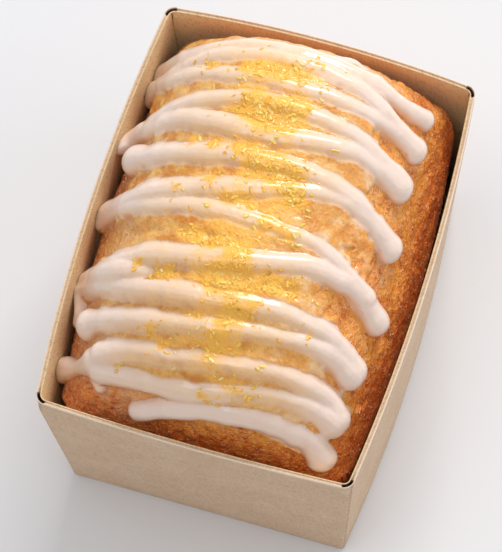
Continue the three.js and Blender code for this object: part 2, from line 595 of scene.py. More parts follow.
def new_tree(name: str, inputs: dict[str, str]) -> tuple[bpy.types.NodeTree, Sheet, Any]:
    """Start a Geometry Nodes tree.

    Args:
        name: The tree's name.
        inputs: The socket type of each named input besides the geometry.

    Returns:
        The tree, its sheet, and its inputs by name.
    """
    tree = bpy.data.node_groups.new(name, "GeometryNodeTree")
    for label, kind in {"Geometry": "NodeSocketGeometry", **inputs}.items():
        tree.interface.new_socket(label, in_out="INPUT", socket_type=kind)
    tree.interface.new_socket("Geometry", in_out="OUTPUT", socket_type="NodeSocketGeometry")
    sheet = Sheet(tree)
    return tree, sheet, sheet.node("NodeGroupInput").outputs


def stored(sheet: Sheet, name: str) -> Term:
    """Read a number stored on the points of a tree's geometry."""
    return sheet.term("GeometryNodeInputNamedAttribute", {"data_type": "FLOAT"},
                      {"Name": name}, "Attribute")


def chance(sheet: Sheet, kind: str, low: Any, high: Any, salt: int) -> Term:
    """Add a random value between two limits.

    Args:
        sheet: The tree's sheet.
        kind: The value's type, as FLOAT, INT or FLOAT_VECTOR.
        low: The lowest value.
        high: The highest value.
        salt: The value's seed.

    Returns:
        The value.
    """
    suffix = {"FLOAT": "_001", "INT": "_002", "FLOAT_VECTOR": ""}[kind]
    return sheet.term("FunctionNodeRandomValue", {"data_type": kind}, {
        "Min" + suffix: low, "Max" + suffix: high, "Seed": salt,
    }, "Value" + suffix)


def close_tree(sheet: Sheet, geometry: Term, material: bpy.types.Material | None) -> None:
    """End a Geometry Nodes tree in real, finished geometry.

    Args:
        sheet: The tree's sheet.
        geometry: The geometry so far.
        material: The geometry's material.
    """
    real = sheet.term("GeometryNodeRealizeInstances", None, {"Geometry": geometry})
    soft = sheet.term("GeometryNodeSetShadeSmooth", None, {"Geometry": real})
    done = sheet.term("GeometryNodeSetMaterial", None, {"Geometry": soft, "Material": material})
    sheet.node("NodeGroupOutput", None, {"Geometry": done})


def apply_tree(made: bpy.types.Object, tree: bpy.types.NodeTree, inputs: dict[str, Any],
               name: str) -> bpy.types.Object:
    """Run a Geometry Nodes tree on an object and keep the result as a plain mesh.

    Args:
        made: The object, which the result takes the place of.
        tree: The tree.
        inputs: The values of its named inputs.
        name: The result's name.

    Returns:
        The new object.
    """
    modifier = made.modifiers.new(tree.name, "NODES")
    modifier.node_group = tree
    for item in tree.interface.items_tree:
        if item.item_type == "SOCKET" and item.in_out == "INPUT" and item.name in inputs:
            modifier[item.identifier] = inputs[item.name]
    return baked(made, name)


# ---- The drizzle's routes ----


@dataclass(frozen=True)
class Pass:
    """One pass of icing across the loaf, in millimetres.

    Attributes:
        left: Its left end, seen from above.
        along: Its distance along the loaf at each of the stations across it.
        tip: Its right end.
        half: Half its width.
        widths: Its width at the left end, the stations and the tip, as shares of its usual
            width.
    """

    left: tuple[float, float]
    along: tuple[float | None, ...]
    tip: tuple[float, float]
    half: float
    widths: tuple[float, ...]


STATIONS = (-28.0, -4.0, 20.0, 31.0)
PASSES = (
    Pass((-42, 45), (46.3, 48.6, 47.2, 45.4), (35, 46), 3.5, (1, 1, 1, 0.95, 0.8, 0.85)),
    Pass((-42.5, 38.5), (42.9, 44.9, 41.8, 36.6), (35.5, 34.7), 3.4, (1, 1, 1, 1, 1.1, 1.15)),
    Pass((-42.5, 38.5), (37.8, 37.2, 37.2, 36.2), (35.5, 34.7), 3.1, (1.1, 1, 1, 0.9, 1, 1.15)),
    Pass((-44.5, 22.5), (28.3, 31, 29.1, 24.8), (35.2, 22), 3.4, (0.9, 1, 0.95, 0.85, 1.1, 1.2)),
    Pass((-44.5, 22.5), (23.5, 21.4, 24.8, 23.6), (35.2, 22), 3.9, (0.9, 1, 1, 0.85, 1, 1.05)),
    Pass((-40.4, 14), (12.8, 14.2, 13.5, 8.9), (37, 4.6), 4, (1.05, 1, 0.95, 0.85, 1, 1)),
    Pass((-44, -1), (0.8, 5, 11, 8.8), (37, 4.6), 4, (1, 1.15, 0.85, 0.7, 1, 1.05)),
    Pass((-44, -1), (-2.8, -2.9, -4.6, -8.8), (35, -11.4), 3.3, (1, 1.1, 0.95, 0.8, 0.85, 0.9)),
    Pass((-44.5, -21.8), (-18.4, -15.8, -10.2, -9.9), (39, -14.8), 4.1,
         (0.9, 1.05, 1, 0.9, 0.95, 0.95)),
    Pass((-44.5, -22.5), (-26.6, -26.8, -24.5, -26.4), (37, -31.3), 4,
         (0.9, 1.05, 0.95, 0.8, 1, 1.1)),
    Pass((-38.5, -35), (-35.2, -34.3, -29.8, -29.3), (37, -31.3), 3.8,
         (1.05, 1, 0.9, 0.8, 1.1, 1.15)),
    Pass((-32.2, -44.4), (-43.4, -42.3, -39.3, -39.6), (36.3, -44.2), 3.8,
         (1, 1, 0.9, 0.85, 1, 1.1)),
    Pass((-32, -46), (-47.8, -49, -44.1, -43.2), (36.3, -44.2), 3.8,
         (1, 0.9, 0.9, 0.8, 1.05, 1.1)),
    Pass((-19.4, -55), (None, -52.4, -50.2, -50.5), (34.8, -54.2), 3.9,
         (0.7, 0.8, 0.95, 0.95, 1, 1)),
)

# Dribbles beside the passes, as places and half widths in millimetres: where the icing touches
# the case's left wall, a smear down it, a finger, drops and bridges.
DRIBBLES = (
    ((-47.6, 17.2, 66.9, 2.1), (-45.6, 18.8, 66, 2.4), (-42.6, 21.6, 66.5, 2.8),
     (-38, 24.3, 72.3, 3)),
    ((-45, 18.2, 62.6, 1.9), (-43.4, 20.4, 62.6, 2.3), (-41, 22.4, 67, 2.6)),
    ((-45.2, -2.4, 60.6, 2.6), (-43.2, -1.6, 61.6, 3.2), (-38.5, -0.5, 71.5, 3.4)),
    ((-47.4, -24.6, 63, 1.2), (-44.6, -24, 62.2, 2), (-40.6, -23.4, 65.8, 3)),
    ((-40, -21.6, 67.2, 3.6), (-35, -21.6, 75.6, 4.6), (-29, -22.2, 82.8, 4.6),
     (-24, -22, 86.6, 3.6), (-18.5, -21.6, 89.2, 1.8)),
    ((-43.4, -23.4, 62.4, 2.8), (-42, -27.2, 62.4, 2.7), (-41.4, -31, 63, 2.2),
     (-42, -34, 60.6, 1.4)),
    ((-43, -44.6, 52.6, 3.3), (-42.2, -45, 55.8, 3.8), (-39.8, -45.8, 61.6, 3.4),
     (-36.8, -46.2, 66.2, 2.3), (-34.4, -46, 69, 3.2), (-31, -45.2, 72.6, 4.9),
     (-27.6, -45.4, 74.6, 4.4)),
    ((-31.6, -47.4, 71, 2.6), (-29.2, -50.8, 70.4, 1.9), (-27.8, -52.8, 69.6, 1.6)),
    ((29.8, -44.4, 72.6, 1.5), (30.6, -46.6, 71.8, 1.1), (31.4, -49, 70.6, 1.5)),
    ((6, 49.4, 88.8, 2.2), (11.4, 51.2, 86.4, 2.5), (15, 50.2, 86, 2)),
)


# Clumps of zest on the plan in millimetres: the middle across and along, how far the clump
# reaches each way, and how thick it lies.
CLUMPS = (
    (-2, 41, 6, 3, 1), (-10, 40, 4, 2, 0.5), (-25, 40, 2.5, 1.2, 0.7), (-15, 40, 2.5, 1, 0.6),
    (4, 47, 1.8, 1.5, 0.6), (-9, 28, 5, 3.5, 0.9), (-2, 27, 6, 4, 1), (3, 32, 3, 3, 0.8),
    (-17, 15.5, 1.6, 1.8, 1), (-23, 15.5, 1.4, 1.4, 0.6), (-8, 16, 3.5, 2.5, 0.9),
    (-5, 13, 2, 3.5, 0.8), (3, 12.5, 5.5, 4, 1), (-14, 5.5, 2, 2, 0.6), (-23, 1, 2, 1.6, 0.5),
    (9.5, 7, 3.5, 3, 0.8), (-6, 1.5, 5, 1.6, 0.5), (4, -3, 2.4, 2.4, 0.8), (8, -3, 1.8, 1.5, 0.6),
    (12, -4.5, 2, 2, 0.8), (-8.5, -11, 8, 2, 0.6), (0, -16, 3, 4, 0.9), (-1, -21.5, 6, 4, 1),
    (12, -18.5, 7, 3, 0.7), (-18.5, -22.5, 2.6, 2, 0.8), (-26.5, -21, 1.5, 1.8, 0.9),
    (7.5, -26, 1.8, 1.6, 0.7), (4, -29, 3.5, 2.5, 0.8), (-6.5, -32.5, 2, 1.5, 0.5),
    (-18.5, -37.5, 2.4, 1.8, 0.6), (-14.5, -41, 2, 1.4, 0.9), (0, -36.5, 2.5, 5, 0.5),
    (23.5, -27.5, 1.6, 1.6, 0.5), (1.5, -51, 3, 1.5, 0.6), (8.5, -47, 4, 1.5, 0.6),
    (-24, -48, 2, 1, 0.5),
)


def through(points: Array, steps: int) -> Array:
    """Draw a centripetal Catmull-Rom curve through points.

    Args:
        points: The points that it passes, as n by k.
        steps: How many steps each stretch between two of them has.

    Returns:
        The points of the curve, as m by k.
    """
    ends = [2 * points[0] - points[1], *points, 2 * points[-1] - points[-2]]
    drawn = []
    for a, b, c, d in zip(ends, ends[1:], ends[2:], ends[3:]):
        knots = np.cumsum([0, *(np.linalg.norm(q - p) ** 0.5 for p, q in ((a, b), (b, c), (c, d)))])
        for t in np.linspace(knots[1], knots[2], steps, endpoint=False):
            level = [a, b, c, d]
            for first, reach in ((0, 1), (0, 2), (1, 1)):
                pairs = zip(level, level[1:], knots[first:], knots[first + reach:])
                level = [(p * (high - t) + q * (t - low)) / (high - low)
                         for p, q, low, high in pairs]
            drawn.append(level[0])
    return np.array([*drawn, points[-1]])


@dataclass
class Routes:
    """The middle lines and radii of all of the icing's strands."""

    crown: Crown
    height: float = 2.8 * MM
    height_power: float = 0.7
    usual: float = 3.7 * MM
    sunk: float = 0.2 * MM
    step: float = 0.8 * MM
    nose_steps: int = 8
    pass_steps: int = 24
    dribble_steps: int = 16
    bulb_growth: float = 0.24
    bulb_reach: float = 7 * MM
    tip_rise: float = 0.55
    wobble: float = 0.5 * MM
    swelling: float = 0.16
    strands: list[tuple[Array, Array]] = field(default_factory=list)
    girths: list[float] = field(default_factory=list)
    tree: kdtree.KDTree | None = None
    cores: kdtree.KDTree | None = None

    def lay(self) -> None:
        """Work out every strand."""
        on_crust = []
        for number, one in enumerate(PASSES):
            points, radii, to_end = self._pass(one, number)
            on_crust.append(points)
            rise = 1 + self.tip_rise * np.exp(-np.square(to_end / self.bulb_reach))
            high = self.height * (radii / self.usual) ** self.height_power * rise
            normals = self.crown.normal(points[:, 0], points[:, 1])
            middle = points + normals * np.minimum(high - radii, self.sunk)[:, None]
            self._add(middle, radii, to_end)
        for marks in DRIBBLES:
            dense = through(np.array(marks) * MM, self.dribble_steps)
            self._add(*self._evenly(dense[:, :3], dense[:, 3]))
        self.tree = self._searched(np.concatenate(on_crust))
        self.cores = self._searched(np.concatenate([middle for middle, _ in self.strands]))

    def distance(self, points: Array) -> Array:
        """Give each point's distance to the nearest pass."""
        return np.array([self.tree.find(Vector(p))[2] for p in points])

    def apart(self, points: Array) -> Array:
        """Give each point's distance to the nearest strand's middle line, in its radii."""
        found = (self.cores.find(Vector(p)) for p in points)
        return np.array([away / self.girths[i] for _, i, away in found])

    def _add(self, middle: Array, radii: Array, to_end: Array) -> None:
        """Add a strand, rounded off at its ends.

        Args:
            middle: Its middle line.
            radii: Its radii there.
            to_end: The distances to the nearer end.
        """
        nose = np.minimum(to_end / radii, 1)
        rounded = radii * np.maximum(np.sqrt(1 - np.square(1 - nose)), 0.05)
        self.strands.append((middle, rounded))
        self.girths += radii.tolist()

    @staticmethod
    def _searched(places: Array) -> kdtree.KDTree:
        """Sort places for finding the nearest one.

        Args:
            places: The places, as n by 3.

        Returns:
            The sorted places.
        """
        tree = kdtree.KDTree(len(places))
        for i, place in enumerate(places):
            tree.insert(Vector(place), i)
        tree.balance()
        return tree

    def _pass(self, one: Pass, number: int) -> tuple[Array, Array, Array]:
        """Work out one pass.

        Args:
            one: The pass.
            number: Its number, which its wobble depends on.

        Returns:
            Points on the crust, the radii there, and the distances to the nearer end.
        """
        crossings = [(x, y) for x, y in zip(STATIONS, one.along) if y is not None]
        widths = [one.widths[0], *one.widths[1 + len(STATIONS) - len(crossings):]]
        marks = [(x, y, one.half * width)
                 for (x, y), width in zip([one.left, *crossings, one.tip], widths)]
        dense = through(np.array(marks) * MM, self.pass_steps)
        x, y = dense[:, 0], dense[:, 1]
        line = np.column_stack([x, y, self.crown.height(x, y)])
        points, radii, to_end = self._evenly(line, dense[:, 2])
        normals = self.crown.normal(points[:, 0], points[:, 1])
        sideways = np.cross(normals, np.gradient(points, axis=0))
        sideways /= np.linalg.norm(sideways, axis=1, keepdims=True)
        points += sideways * (self.wobble * rough(points, 9 * MM, 2, number + 0.5))[:, None]
        radii *= 1 + self.bulb_growth * np.exp(-np.square(to_end / self.bulb_reach))
        radii *= 1 + self.swelling * rough(points, 6 * MM, 2, number + 20.5)
        return points, radii, to_end

    def _evenly(self, line: Array, radii: Array) -> tuple[Array, Array, Array]:
        """Step evenly along a line, and closer at its round ends.

        Args:
            line: The line's points.
            radii: Its radii there.

        Returns:
            The new points, the radii there, and the distances to the nearer end.
        """
        steps = np.linalg.norm(np.diff(line, axis=0), axis=1)
        travelled = np.concatenate([[0], np.cumsum(steps)])
        length = travelled[-1]
        turn = 1 - np.cos(np.linspace(0, math.pi / 2, self.nose_steps))
        first = min(radii[0] * (1 + self.bulb_growth), length / 2.2)
        last = min(radii[-1] * (1 + self.bulb_growth), length / 2.2)
        count = max(int((length - first - last) / self.step), 1)
        middle = np.linspace(first, length - last, count + 1)[1:-1]
        at = np.concatenate([first * turn, middle, length - (last * turn)[::-1]])
        points = np.column_stack([np.interp(at, travelled, line[:, k]) for k in range(3)])
        return points, np.interp(at, travelled, radii), np.minimum(at, length - at)


@dataclass(frozen=True)
class Zones:
    """Where the crust is soaked, glazed and strewn, from its plan.

    Each pair of sizes says where the edge of a zone starts and where it ends.
    """

    routes: Routes
    soaked_left: float = 36 * MM
    soaked_right: float = 31 * MM
    soaked_front: tuple[float, float] = (-58 * MM, -44 * MM)
    soaked_back: tuple[float, float] = (-56 * MM, -47 * MM)
    glazed_front: tuple[float, float] = (-54 * MM, -47 * MM)
    glazed_aside: tuple[float, float] = (25 * MM, 32 * MM)
    glazed_near: tuple[float, float] = (6 * MM, 9.5 * MM)
    stripe_reach: float = 14 * MM
    stripe_front: tuple[float, float] = (-55 * MM, -40 * MM)
    stripe_back: tuple[float, float] = (-52 * MM, -44 * MM)

    @staticmethod
    def stripe(y: Array) -> Array:
        """Give the middle of the zest's stripe at a distance along the loaf."""
        return -3.5 * MM - 0.07 * y + 2.5 * MM * np.sin(y / (9 * MM))

    def gold(self, x: Array, y: Array) -> Array:
        """Give how soaked and golden the crust is.

        Args:
            x: The places across.
            y: The places along.

        Returns:
            Values of 0 to 1.
        """
        aside = x - self.stripe(y)
        reach = np.where(aside < 0, self.soaked_left, self.soaked_right)
        ends = smooth(y, *self.soaked_front) * smooth(-y, *self.soaked_back)
        return np.exp(-np.abs(aside / reach) ** 3.4) * ends

    def film(self, points: Array, distance: Array) -> Array:
        """Give how much a thin film of icing covers the crust.

        Args:
            points: Points on the crust.
            distance: Their distances to the nearest pass.

        Returns:
            Values of 0 to 1.
        """
        x, y = points[:, 0], points[:, 1]
        ragged = rough(points, 9 * MM, 2, 5.2) + 0.5 * rough(points, 2.6 * MM, 2, 5.9)
        aside = x - self.stripe(y) - 2 * MM
        spread = np.where(aside < 0, -aside - 7 * MM, aside) + 9 * MM * ragged
        near = 1 - smooth(distance + 2.5 * MM * ragged, *self.glazed_near)
        front = smooth(y + 3 * MM * ragged + 0.15 * x, *self.glazed_front)
        return (1 - smooth(spread, *self.glazed_aside)) * near * front

    def zest(self, points: Array) -> tuple[Array, Array]:
        """Give how the zest lies.

        Args:
            points: Points on the icing.

        Returns:
            How densely it lies and how yellow its juice is, both 0 to 1.
        """
        x = points[:, 0] + 1.5 * MM * rough(points, 4 * MM, 2, 8.1)
        y = points[:, 1] + 1.5 * MM * rough(points, 4 * MM, 2, 9.4)
        dense = np.zeros(len(points))
        for at_x, at_y, across, along, thick in CLUMPS:
            away = np.square((x / MM - at_x) / across) + np.square((y / MM - at_y) / along)
            dense += thick * np.exp(-away)
        aside = np.square((x - self.stripe(y)) / self.stripe_reach)
        ends = smooth(y, *self.stripe_front) * smooth(-y, *self.stripe_back)
        stripe = np.exp(-aside) * ends
        dense = np.minimum(dense, 1)
        return dense + 0.05 * stripe, np.minimum(dense + 0.4 * stripe, 1)


# ---- Finishes ----


@dataclass(frozen=True)
class Bake:
    """The colours of baked crust, from pale and soaked to dark brown, with pale painted highlights.
    """

    amber: Colour = srgb(255, 168, 66)
    brown: Colour = srgb(220, 108, 30)
    dark: Colour = srgb(130, 46, 8)
    gold: Colour = srgb(240, 174, 76)
    # pale: painted highlights, pale streaks and squiggles that stand in for glints on the crust
    pale: Colour = srgb(254, 204, 138)

    def colour(self, paint: Paint, gold: Term, low: Term | float) -> Term:
        """Add the crust's colour to a material.

        Args:
            paint: The material.
            gold: How soaked the crust is, 0 to 1.
            low: How far down the sides it is, 0 to 1.

        Returns:
            The colour.
        """
        broad = paint.noise(11 * MM, 3)
        middle = paint.noise(2.6 * MM, 4, (1, 2.2, 1.4), 0.4)
        fine = paint.noise(1.4 * MM, 3, distortion=0.6)
        strands = paint.noise(0.62 * MM, 1, (1, 1.9, 1), 0.5, distortion=0.5)
        lines = paint.veins(1.5 * MM, 400, (1, 1.5, 1), 0.5, 0.8)[1]
        browning = (broad * 0.8 + middle * 1.1 - 0.95 + low * 0.45).rise(-0.22, 0.46)
        crust = paint.blend(self.amber, self.brown, browning)
        crust = paint.blend(crust, self.dark, low * middle.rise(0.35, 0.7) * 0.12)
        crust = paint.blend(crust, self.gold, (gold * 1.25 - middle * 0.35).rise(0.05, 0.8))
        dark = (1 - fine).rise(0.54, 0.7) * (1 - gold * 0.75) * middle.rise(0.4, 0.6)
        crust = paint.blend(crust, self.dark, dark * 0.65)
        # Painted highlights: pale squiggles and streaks stand in for the wet crust's glints.
        crust = paint.blend(crust, self.pale, lines * fine.rise(0.42, 0.56) * 0.5)
        return paint.blend(crust, self.pale, strands.rise(0.61, 0.7) * middle.rise(0.3, 0.6) * 0.7)


@dataclass(frozen=True)
class CrustFinish:
    """The browned crust, soaked golden on top."""

    bake: Bake = Bake()
    sugared: Colour = srgb(232, 176, 136)
    relief: float = 1.1 * MM

    def material(self) -> bpy.types.Material:
        """Make the crust's material.

        Returns:
            The material.
        """
        paint = Paint("baked_crust", {"IOR": 1.45, "Coat Roughness": 0.09, "Coat IOR": 1.5})
        gold = paint.attribute("gold")
        near = paint.attribute("near")
        fine = paint.noise(1.4 * MM, 3, distortion=0.6)
        strands = paint.noise(0.62 * MM, 1, (1, 1.9, 1), 0.5, distortion=0.5)
        grit = paint.noise(0.5 * MM, 2)
        pits = fine * 0.9 + strands * 0.7 + grit * 0.3
        crust = self.bake.colour(paint, gold, paint.attribute("low"))
        return paint.finish(
            Base_Color=paint.blend(crust, self.sugared, near * (fine * 0.6 + 0.3)),
            Roughness=0.34 + fine * 0.25,
            Coat_Weight=fine.rise(0.35, 0.6),
            Normal=paint.bump(pits, self.relief),
        )


@dataclass(frozen=True)
class IcingFinish:
    """Glossy translucent icing, golden where it thins out to a film, with painted shade and glints.
    """

    bake: Bake = Bake()
    white: Colour = srgb(235, 214, 201)
    # warm: the soaked golden tint, and painted shade on the sides that face away from the key lamp
    warm: Colour = srgb(240, 200, 148)
    golden: Colour = srgb(210, 134, 46)
    pale: Colour = srgb(236, 184, 96)
    # The pale veil's colour, also painted along thin lines as glints on the film.
    veil_and_glint: Colour = srgb(240, 206, 172)
    lemon: Colour = srgb(255, 188, 72)
    fleck: Colour = srgb(150, 108, 30)
    # foot: thin icing at a rope's foot showing the crust, and painted shade on the sides away from
    # the key lamp
    foot: Colour = srgb(226, 158, 92)
    relief: float = 0.5 * MM

    def material(self) -> bpy.types.Material:
        """Make the icing's material: film over crust, then ropes, then juice and flecks.

        Returns:
            The material.
        """
        paint = Paint("sugar_icing", {
            "IOR": 1.47, "Subsurface Weight": 0.65, "Subsurface Radius": (1.0, 0.8, 0.65),
            "Subsurface Scale": 1.4 * MM, "Coat Roughness": 0.1, "Coat IOR": 1.5,
        })
        rope, lee, gold, zest, lift = (
            paint.attribute(name) for name in ("rope", "lee", "gold", "juice", "lift"))
        patches = paint.noise(4.5 * MM, 2)
        fine = paint.noise(0.9 * MM, 2)
        ripples = paint.noise(2.2 * MM, 1)
        veins, lines = paint.veins(1.3 * MM, 500)
        across = paint.term("ShaderNodeSeparateXYZ", None, {0: paint.place}, "X")
        right = across.rise(5 * MM, 26 * MM)
        cloudy = (patches - 0.45).rise(0.0, 0.2) * right

        film = paint.blend(self.golden, self.pale, (patches + fine * 0.3).rise(0.44, 0.86))
        film = paint.blend(film, self.veil_and_glint, cloudy * 0.5)
        # Painted highlights: thin pale lines stand in for glints on the film.
        glints = lines * patches.rise(0.36, 0.56) * (0.9 - gold * 0.3) * (right * 0.5 + 0.5)
        film = paint.blend(film, self.veil_and_glint, glints)
        cover = lift.rise(0.02, 0.5) * (0.95 - right * (1 - cloudy) * 0.4)
        colour = paint.blend(self.bake.colour(paint, gold, 0.0), film, cover)

        # Painted shade: the side away from the key lamp turns warmer, mixed with the real soaked
        # tint and random patches.
        shade = lee * 0.3 + gold * 0.68 + patches * 0.5
        body = paint.blend(self.white, self.warm, (shade - 0.3).rise(0.2, 1.05))
        body = paint.blend(body, self.foot, (1 - lift.rise(0.4, 2.3)) * (lee * 0.5 + 0.15))
        # Painted shade also thins the white on the side away from the key lamp in the soaked
        # middle.
        deep = rope * (1.3 - gold * 0.15 - lee * gold * 0.3) + patches * 0.4 - 0.5
        thickness = deep.rise(0.1, 0.9)
        colour = paint.blend(colour, body, thickness)

        juice = (zest * 1.3 + patches * 0.8 - thickness * 0.25 - 0.4).rise(0.1, 0.75)
        colour = paint.blend(colour, self.lemon, juice * zest.rise(0.03, 0.3) * 0.95)
        flecks = (1 - paint.cells(2.4 * MM)).rise(0.92, 0.96) * zest.rise(0.02, 0.3)
        colour = paint.blend(colour, self.fleck, flecks * 0.2)

        thin = 1 - thickness
        height = thin * (fine * 0.6 + veins * 0.5) + ripples * 0.35 + zest * fine * 0.5
        return paint.finish(
            Base_Color=colour,
            Roughness=0.32 + thin * 0.1,
            Coat_Weight=0.5 - thin * 0.2 * (1 - right),
            Normal=paint.bump(height, self.relief),
        )


@dataclass(frozen=True)
class ZestFinish:
    """Moist shreds of lemon peel."""

    bright: Colour = srgb(255, 206, 84)
    deep: Colour = srgb(255, 184, 60)
    pith: Colour = srgb(255, 226, 150)
    stale: Colour = srgb(170, 130, 44)
    relief: float = 0.15 * MM

    def material(self) -> bpy.types.Material:
        """Make the zest's material.

        Returns:
            The material.
        """
        paint = Paint("lemon_zest", {
            "Roughness": 0.4, "Coat Weight": 0.4, "Coat Roughness": 0.15,
        })
        tone = paint.attribute("tone")
        fine = paint.noise(0.6 * MM, 2)
        colour = paint.blend(self.bright, self.deep, tone.rise(0.35, 0.85))
        colour = paint.blend(colour, self.pith, (1 - tone).rise(0.84, 0.9) * 0.8)
        colour = paint.blend(colour, self.stale, tone.rise(0.985, 0.99) * 0.6)
        return paint.finish(Base_Color=colour, Normal=paint.bump(fine, self.relief))


@dataclass(frozen=True)
class BoardFinish:
    """Brown kraft board with short fibres; greasy inside, with painted light there, most of it low
    down.
    """

    board: Colour = srgb(215, 181, 146)
    light: Colour = srgb(238, 214, 186)
    fibre: Colour = srgb(148, 110, 76)
    # inside: the inner ply, greasy, and painted lighter than the outside as painted light inside
    # the case
    inside: Colour = srgb(246, 214, 162)
    # Painted light: low down inside, the board is lighter to make up for the shade between the wall
    # and the loaf.
    painted_light_low: Colour = srgb(252, 226, 172)
    # edge: the pale cut edge of the rim, with a painted highlight on its ridges
    edge: Colour = srgb(244, 224, 204)
    crease: Colour = srgb(150, 108, 76)
    # Painted shade: the dark of the crease and the cut between the plies, and where the inner plies
    # meet at a corner.
    seam: Colour = srgb(52, 28, 18)
    relief: float = 0.12 * MM

    def material(self) -> bpy.types.Material:
        """Make the board's material.

        Returns:
            The material.
        """
        paint = Paint("kraft_board", {"IOR": 1.4, "Sheen Weight": 0.08, "Sheen Roughness": 0.6})
        flat = paint.term("ShaderNodeUVMap", {"uv_map": "board"})
        clouds = paint.noise(14 * MM, 3, at=flat)
        grain = paint.noise(0.5 * MM, 3, at=flat)
        across = paint.noise(0.3 * MM, 1, (8, 1, 1), 0.35, flat, 0.4)
        down = paint.noise(0.3 * MM, 1, (8, 1, 1), 1.9, flat, 0.4)
        slant = paint.noise(0.28 * MM, 1, (10, 1, 1), -0.7, flat, 0.5)
        pale = across.rise(0.56, 0.7) + slant.rise(0.56, 0.7)
        dark = down.rise(0.56, 0.7) + (1 - slant).rise(0.58, 0.72)
        inner, rim, seam, low, fold = (
            paint.attribute(name) for name in ("inner", "rim", "seam", "low", "fold"))
        colour = paint.blend(self.board, self.light, clouds.rise(0.35, 0.7) * 0.3)
        # The inner ply: grease, and painted light that lightens it.
        colour = paint.blend(colour, self.inside, inner)
        # Painted light low down inside, where the wall and the loaf shade each other.
        colour = paint.blend(colour, self.painted_light_low, (low + clouds * 0.5 - 0.25).rise(0.1, 1.0) * 0.8)
        colour = paint.blend(colour, self.light, pale * (0.42 - inner * 0.2))
        colour = paint.blend(colour, self.fibre, dark * 0.34 + grain.rise(0.5, 0.72) * 0.3)
        # The rim's ridges: a pale cut edge and a painted highlight.
        colour = paint.blend(colour, self.edge, rim)
        colour = paint.blend(colour, self.crease, fold * grain.rise(0.36, 0.5) * 0.6)
        # Painted shade in the gaps between the plies and in the inner corners.
        colour = paint.blend(colour, self.seam, seam)
        return paint.finish(
            Base_Color=colour,
            Roughness=0.6 + grain * 0.3,
            Normal=paint.bump(grain * 0.6 + pale * 0.35 - dark * 0.3, self.relief),
        )


class Finish(Enum):
    """The material slots, each with its finish."""

    CRUST = "baked_crust"
    ICING = "sugar_icing"
    ZEST = "lemon_zest"
    BOARD = "kraft_board"


FINISHES = {
    Finish.CRUST: CrustFinish(),
    Finish.ICING: IcingFinish(),
    Finish.ZEST: ZestFinish(),
    Finish.BOARD: BoardFinish(),
}


def hand_over(piece: bpy.types.Object, finish: Finish, *nodes: str) -> None:
    """Hang a finished piece on the root and hide the nodes that it stands for.

    Args:
        piece: The piece.
        finish: The slot that it takes its finish from; not used.
        *nodes: The nodes that it stands for.
    """
    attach(piece, "root")
    if nodes:
        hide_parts(*nodes)
    triangles = sum(len(face.vertices) - 2 for face in piece.data.polygons)
    log.info("%s: %d triangles", piece.name, triangles)


# ---- Sub-assemblies ----


